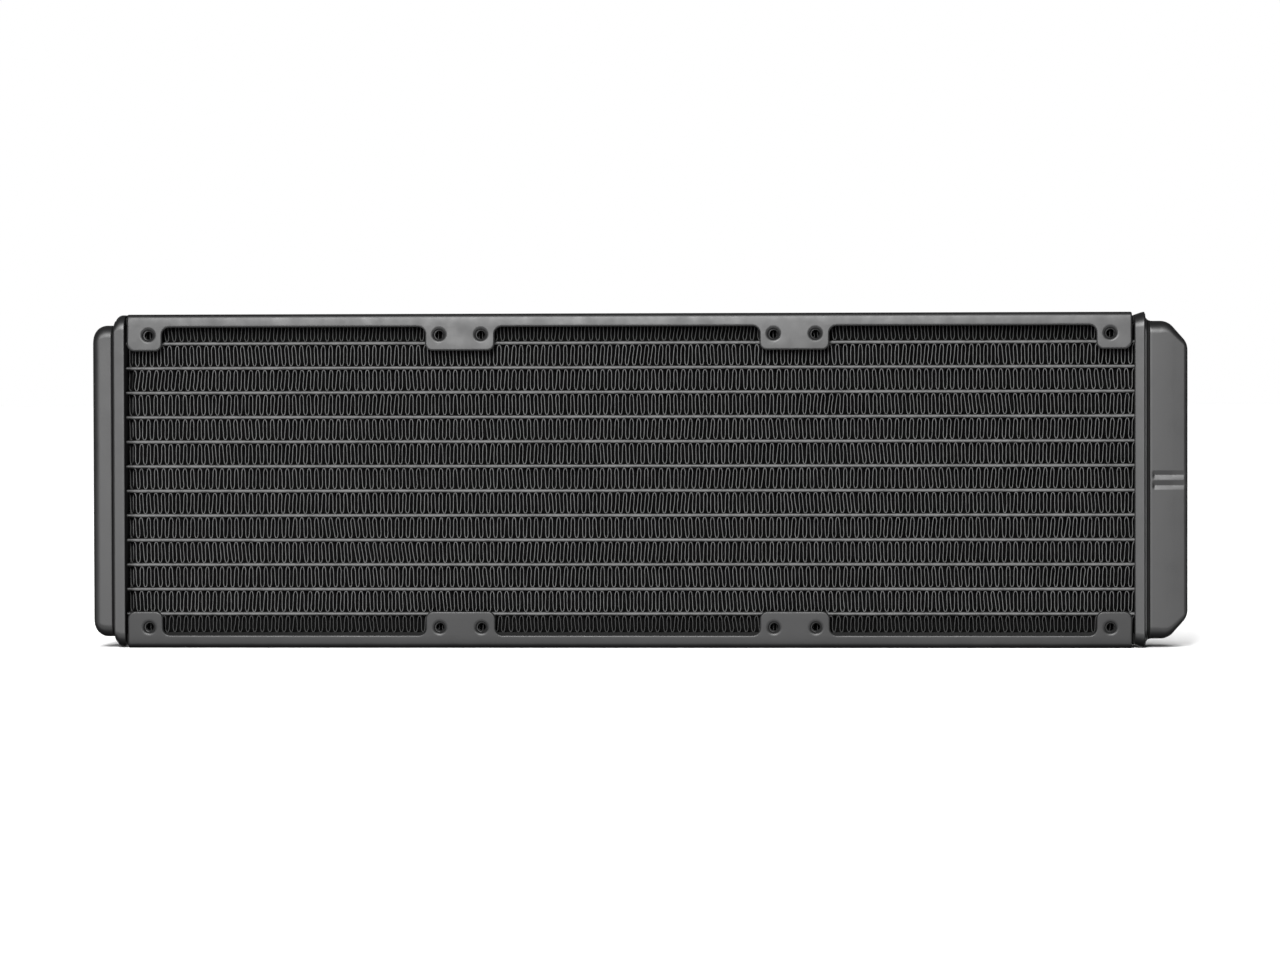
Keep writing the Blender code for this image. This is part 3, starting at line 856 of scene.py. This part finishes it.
def foil_points(length, low, high):
    """Both faces of a folded foil, row by row through its depth, about the middle of its length."""
    pinched, square = fin_path(length, high - low)
    # The first folds are pushed back where the strip was trimmed.
    pushed = np.clip((square[:, 0] + length / 2) / MM - 1.5, 0, 1) * 0.5 + 0.5
    rows = []
    for edge, inner in zip(thickened(pinched), thickened(square)):
        for share in FIN_ROWS:
            flat = inner + (edge - inner) * max(0, (abs(share) - 0.7) / 0.3) ** 1.5
            bow = FIN_BOW * (1 + math.cos(math.pi * share)) / 2
            row = np.zeros((len(square), 3))
            row[:, 0] = np.clip(flat[:, 0] + bow, -length / 2, length / 2)
            row[:, 1] = share * TUBES[0][1].y * pushed
            row[:, 2] = flat[:, 1] + (low + high) / 2
            rows.append(row)
    return rows


def foil_faces(rows, count):
    """Quads over both faces of a foil and along its four edges."""
    number = np.arange(2 * rows * count).reshape(2, rows, count)
    faces = []
    for row in range(rows - 1):
        for face in (0, 1):
            faces.append(grid_faces(number[face, row], number[face, row + 1], face == 0))
    for row, turned in ((0, False), (rows - 1, True)):
        faces.append(grid_faces(number[0, row], number[1, row], turned))
    for column, turned in ((0, True), (count - 1, False)):
        faces.append(grid_faces(number[0, :, column], number[1, :, column], turned))
    return faces


def quad_mesh(name, points, faces):
    """A mesh from an array of points and an array of four-cornered faces."""
    mesh = bpy.data.meshes.new(name)
    mesh.vertices.add(len(points))
    mesh.vertices.foreach_set("co", points.ravel())
    mesh.loops.add(faces.size)
    mesh.loops.foreach_set("vertex_index", faces.ravel())
    mesh.polygons.add(len(faces))
    mesh.polygons.foreach_set("loop_start", np.arange(0, faces.size, 4))
    mesh.update(calc_edges=True)
    mesh.validate()
    return mesh


def fin_strip(index, low, high, look):
    """A folded foil, bowed through its depth so that no straight line passes between its legs."""
    start, end = CORE_FACE[-1] + END_GAP, CORE_FACE[1] - END_GAP
    rows = foil_points(end - start, low, high)
    points = np.concatenate(rows)
    points[:, 0] += (start + end) / 2
    faces = foil_faces(len(FIN_ROWS), len(rows[0]))
    # The foil's cut end is turned across the gap beside the return header.
    near, far, half = start - FLAG_OVERLAP, start + FLAG_WIDTH, FIN_FOIL / 2
    flag = [(x, y, z) for x in (near, far) for y in (-half, half) for z in (low, high)]
    faces.append(np.array(BOX_FACES) + len(points))
    points = np.concatenate([points, np.array(flag)])
    name = f"fin_strip_{index:02d}"
    mesh = quad_mesh(name, points, np.concatenate(faces))
    add_piece(f"{name}_foil", mesh, [look], "fin_paint", name, sharp=60)


def fin_spaces():
    """The gaps that the fin strips fill, from the lower core bar up."""
    edges = [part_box("core_bar_bottom")[1].z]
    for low, high in TUBES:
        edges += [low.z, high.z]
    edges.append(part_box("core_bar_top")[0].z)
    return list(zip(edges[::2], edges[1::2]))


# ---------------------------------------------------------------- materials


def nodes_of(name):
    look = bpy.data.materials.new(name)
    look.use_nodes = True
    return look, look.node_tree.nodes, look.node_tree.links


def noise(nodes, links, scale, detail, where):
    texture = nodes.new("ShaderNodeTexNoise")
    texture.inputs["Scale"].default_value = scale
    texture.inputs["Detail"].default_value = detail
    links.new(where, texture.inputs["Vector"])
    return texture.outputs["Fac"]


def spread(nodes, links, value, low, high, to_low, to_high):
    """Maps a value from one range to another, with no overshoot."""
    ranged = nodes.new("ShaderNodeMapRange")
    ranged.inputs["From Min"].default_value = low
    ranged.inputs["From Max"].default_value = high
    ranged.inputs["To Min"].default_value = to_low
    ranged.inputs["To Max"].default_value = to_high
    links.new(value, ranged.inputs["Value"])
    return ranged.outputs["Result"]


def mix_colour(nodes, links, factor, first, second):
    mix = nodes.new("ShaderNodeMix")
    mix.data_type = "RGBA"
    for socket, colour in (("A", first), ("B", second)):
        target = next(s for s in mix.inputs if s.name == socket and s.type == "RGBA")
        if isinstance(colour, bpy.types.NodeSocket):
            links.new(colour, target)
        else:
            target.default_value = (*colour, 1)
    links.new(factor, mix.inputs[0])
    return next(s for s in mix.outputs if s.type == "RGBA")


def combine(nodes, links, operation, first, second=None):
    """A sum, product or absolute value."""
    maths = nodes.new("ShaderNodeMath")
    maths.operation = operation
    links.new(first, maths.inputs[0])
    if second:
        links.new(second, maths.inputs[1])
    return maths.outputs[0]


def relief(nodes, links, height, distance):
    """Fine relief on the surface, this many metres from low to high."""
    bump = nodes.new("ShaderNodeBump")
    bump.inputs["Strength"].default_value = 1.0
    bump.inputs["Distance"].default_value = distance
    links.new(height, bump.inputs["Height"])
    links.new(bump.outputs["Normal"], nodes["Principled BSDF"].inputs["Normal"])


def grey(level, blue=0.0):
    return (level, level, level + blue)


def tinted(colour, factor):
    return tuple(factor * part for part in colour)


def paint(name, dark, light, rough, peel=0.012, specular=0.5):
    """Baked satin paint: faint mottling, specks, worn edges, uneven gloss and orange peel (in mm)."""
    look, nodes, links = nodes_of(name)
    shader = nodes["Principled BSDF"]
    shader.inputs["Specular IOR Level"].default_value = specular
    where = nodes.new("ShaderNodeTexCoord").outputs["Object"]
    cloud = noise(nodes, links, 28, 4, where)
    speck = noise(nodes, links, 2600, 2, where)
    tone = spread(nodes, links, cloud, 0.35, 0.65, 0, 1)
    colour = mix_colour(nodes, links, tone, dark, light)
    specks = spread(nodes, links, speck, 0.64, 0.76, 0, 0.3)
    colour = mix_colour(nodes, links, specks, colour, tinted(light, 1.7))
    pointed = nodes.new("ShaderNodeNewGeometry").outputs["Pointiness"]
    worn = spread(nodes, links, pointed, 0.56, 0.68, 0, 0.7)
    colour = mix_colour(nodes, links, worn, colour, tinted(light, 2.6))
    links.new(colour, shader.inputs["Base Color"])
    gloss = noise(nodes, links, 160, 3, where)
    gloss = spread(nodes, links, gloss, 0.3, 0.7, rough - 0.04, rough + 0.05)
    # The paint's texture breaks up a reflection that grazes it.
    facing = nodes.new("ShaderNodeLayerWeight").outputs["Facing"]
    grazing = spread(nodes, links, facing, 0.45, 0.75, 0, 0.45)
    links.new(combine(nodes, links, "ADD", gloss, grazing), shader.inputs["Roughness"])
    relief(nodes, links, noise(nodes, links, 900, 2, where), peel * MM)
    return look


def fin_paint(name, inside, edge, rough, reach):
    """Dipped paint with painted light: painted shade between the fins, and a painted highlight, patchy at
    random, for a reach (in mm) at their cut edges.
    """
    look, nodes, links = nodes_of(name)
    shader = nodes["Principled BSDF"]
    where = nodes.new("ShaderNodeTexCoord").outputs["Object"]
    split = nodes.new("ShaderNodeSeparateXYZ")
    links.new(where, split.inputs[0])
    depth = combine(nodes, links, "ABSOLUTE", split.outputs["Y"])
    front = TUBES[0][1].y
    # Painted light: a highlight near the front cut edges, painted shade deeper in.
    highlight_mask = spread(nodes, links, depth, front - reach * MM, front - 0.02 * MM, 0, 1)
    # Painted shade: the highlight is dimmed for a few mm beside the return header, where the recess is in
    # shadow.
    first = CORE_FACE[-1]
    header_shade = spread(nodes, links, split.outputs["X"], first + 1.4 * MM, first + 3.2 * MM, 0.1, 1)
    highlight_mask = combine(nodes, links, "MULTIPLY", highlight_mask, header_shade)
    patchy = noise(nodes, links, 320, 3, where)
    patchy_highlight = spread(nodes, links, patchy, 0.32, 0.68, 0, 1)
    edge_highlight = mix_colour(nodes, links, patchy_highlight, tinted(edge, 0.6), tinted(edge, 1.5))
    links.new(mix_colour(nodes, links, highlight_mask, inside, edge_highlight), shader.inputs["Base Color"])
    gloss = spread(nodes, links, patchy, 0.3, 0.7, rough - 0.06, rough + 0.08)
    links.new(gloss, shader.inputs["Roughness"])
    relief(nodes, links, noise(nodes, links, 1500, 2, where), 0.03 * MM)
    return look


def brass(name):
    """Turned brass with fine tool marks and a little tarnish."""
    look, nodes, links = nodes_of(name)
    shader = nodes["Principled BSDF"]
    shader.inputs["Metallic"].default_value = 1.0
    where = nodes.new("ShaderNodeTexCoord").outputs["Object"]
    tarnish = noise(nodes, links, 240, 4, where)
    tone = spread(nodes, links, tarnish, 0.38, 0.66, 0, 1)
    colour = mix_colour(nodes, links, tone, (0.78, 0.56, 0.24), (0.42, 0.27, 0.1))
    links.new(colour, shader.inputs["Base Color"])
    links.new(spread(nodes, links, tarnish, 0.3, 0.7, 0.22, 0.42), shader.inputs["Roughness"])
    rings = nodes.new("ShaderNodeTexWave")
    rings.inputs["Scale"].default_value = 2600
    rings.inputs["Distortion"].default_value = 0.4
    links.new(where, rings.inputs["Vector"])
    relief(nodes, links, rings.outputs["Fac"], 0.006 * MM)
    return look


# ---------------------------------------------------------------- studio


def stage():
    """A white sweep that the camera sees, lit by a lamp of its own."""
    bm = bmesh.new()
    bmesh.ops.create_grid(bm, x_segments=1, y_segments=1, size=FLOOR_SIZE)
    mesh = bpy.data.meshes.new("floor")
    bm.to_mesh(mesh)
    bm.free()
    floor = bpy.data.objects.new("floor", mesh)
    bpy.context.scene.collection.objects.link(floor)
    floor.location.z = CAD_BOX[0].z - FLOOR_DROP
    look, nodes, _ = nodes_of("white_sweep")
    shader = nodes["Principled BSDF"]
    shader.inputs["Base Color"].default_value = (0.9, 0.9, 0.9, 1)
    shader.inputs["Roughness"].default_value = 0.9
    shader.inputs["Specular IOR Level"].default_value = 0.0
    mesh.materials.append(look)
    floor.visible_glossy = False
    floor.visible_diffuse = False
    floor.visible_shadow = False
    world = bpy.data.worlds.new("studio")
    bpy.context.scene.world = world
    world.use_nodes = True
    background = world.node_tree.nodes["Background"]
    background.inputs["Color"].default_value = (1, 1, 1, 1)
    background.inputs["Strength"].default_value = 1.0
    world.cycles_visibility.diffuse = False
    world.cycles_visibility.glossy = False
    return floor


def area_light(name, width, height, power):
    """A rectangular light that the camera doesn't see."""
    lamp = bpy.data.lights.new(name, "AREA")
    lamp.shape = "RECTANGLE"
    lamp.size, lamp.size_y = width, height
    lamp.energy = power
    obj = bpy.data.objects.new(name, lamp)
    bpy.context.scene.collection.objects.link(obj)
    obj.visible_camera = False
    return obj


def direction(azimuth, elevation):
    """A unit vector away from the part. Azimuth 0 is in front of it."""
    level = math.cos(elevation)
    return Vector((math.sin(azimuth) * level, -math.cos(azimuth) * level, math.sin(elevation)))


def aim(lamp, azimuth, elevation, distance):
    """Places a light by angles in degrees and points it at the part."""
    way = direction(math.radians(azimuth), math.radians(elevation))
    lamp.location = Vector((0, 0, MIDDLE_Z)) + way * distance
    lamp.rotation_euler = (-way).to_track_quat("-Z", "Y").to_euler()


def lights(floor):
    """A tall softbox in front, a low one behind, light off the table, and a lamp for the floor alone."""
    aim(area_light("front_softbox", 0.5, 1.7, 142), -5.0, 23.5, 3.0)
    aim(area_light("back_underlight", 1.9, 0.6, 45), 180, -16, 1.6)
    card = area_light("floor_bounce", *CARD_SIZE, 2.3)
    card.location = (0, CAD_BOX[0].y - CARD_GAP - CARD_SIZE[1] / 2, CAD_BOX[0].z + CARD_LIFT)
    card.rotation_euler = (math.pi, 0, 0)
    sun = bpy.data.lights.new("floor_lamp", "SUN")
    sun.energy = 4.2
    sun.angle = math.radians(70)
    lamp = bpy.data.objects.new("floor_lamp", sun)
    bpy.context.scene.collection.objects.link(lamp)
    lamp.rotation_euler = (math.radians(25), 0, 0)
    only_floor = bpy.data.collections.new("lit_by_floor_lamp")
    only_floor.objects.link(floor)
    lamp.light_linking.receiver_collection = only_floor


def camera():
    view = bpy.data.cameras.new("camera")
    view.lens = LENS
    view.sensor_width = SENSOR
    view.clip_start = 0.05
    obj = bpy.data.objects.new("camera", view)
    bpy.context.scene.collection.objects.link(obj)
    way = direction(VIEW_AZIMUTH, VIEW_ELEVATION)
    obj.location = VIEW_TARGET + way * VIEW_DISTANCE
    roll = Matrix.Rotation(VIEW_ROLL, 4, "Z")
    obj.rotation_euler = ((-way).to_track_quat("-Z", "Y").to_matrix().to_4x4() @ roll).to_euler()
    bpy.context.scene.camera = obj


# ---------------------------------------------------------------- build

frame_look = paint("frame_paint_baked", grey(0.012, 0.0003), grey(0.016, 0.0004), 0.43, peel=0.008)
tank_look = paint(
    "tank_paint_baked", grey(0.011, 0.0003), grey(0.015, 0.0004), 0.43, peel=0.009, specular=0.6
)
# Painted shade: near-black, dull paint for the deep faces of the tanks' neck grooves and the headers' core
# side, where shadow falls.
shade_look = paint("tank_paint_painted_shade", grey(0.005), grey(0.008), 0.8, specular=0.2)
# Painted shade: the core bars, in shadow behind the flanges, and the tank's divider get near-black, dull
# paint.
bar_shade_look = paint("core_paint_painted_shade", grey(0.004), grey(0.006), 0.8, specular=0.2)
# Painted light: the tube noses carry a painted highlight for 1.2 mm at their front and painted shade further
# in.
core_look = fin_paint("core_paint_lit_noses", grey(0.008), grey(0.07), 0.5, reach=1.2)
# Painted light: fin edges carry a painted highlight, with painted shade between the fins; the outer strips, in
# the flanges' shadow, get darker painted shade.
fin_look = fin_paint("fin_paint_lit_edges", grey(0.003), grey(0.064), 0.55, reach=0.3)
outer_fin_look = fin_paint("fin_paint_shaded", grey(0.002), grey(0.019), 0.65, reach=0.3)
thread_look = brass("port_brass_turned")

for name, upside_down in (("side_plate_bottom", False), ("side_plate_top", True)):
    plate = side_plate_mesh()
    if upside_down:
        plate.transform(Matrix.Translation((0, 0, 2 * MIDDLE_Z)) @ Matrix.Rotation(math.pi, 4, "X"))
    add_piece(f"{name}_channel", plate, [frame_look], "frame_paint", name)

header_plate(-1, "header_plate_return", [tank_look, shade_look])
header_plate(1, "header_plate_port", [tank_look, shade_look])
tank(-1, "return_tank", return_tank_outline, [tank_look, shade_look])
tank(1, "port_tank", port_tank_outline, [tank_look, shade_look])
for port in ("upper", "lower"):
    port_bush(port, [tank_look, thread_look])
for i, (low, high) in enumerate(TUBES):
    flat_tube(i + 1, low, high, core_look)
spaces = fin_spaces()
for i, (low, high) in enumerate(spaces):
    # The outermost strips take the darker painted-shade look.
    fin_strip(i + 1, low, high, outer_fin_look if i in (0, len(spaces) - 1) else fin_look)
core_bar("core_bar_bottom", -1, bar_shade_look)
core_bar("core_bar_top", 1, bar_shade_look)
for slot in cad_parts["port_tank_divider"].material_slots:
    slot.material = bar_shade_look

lights(stage())
camera()
bpy.context.scene.view_settings.view_transform = "Standard"
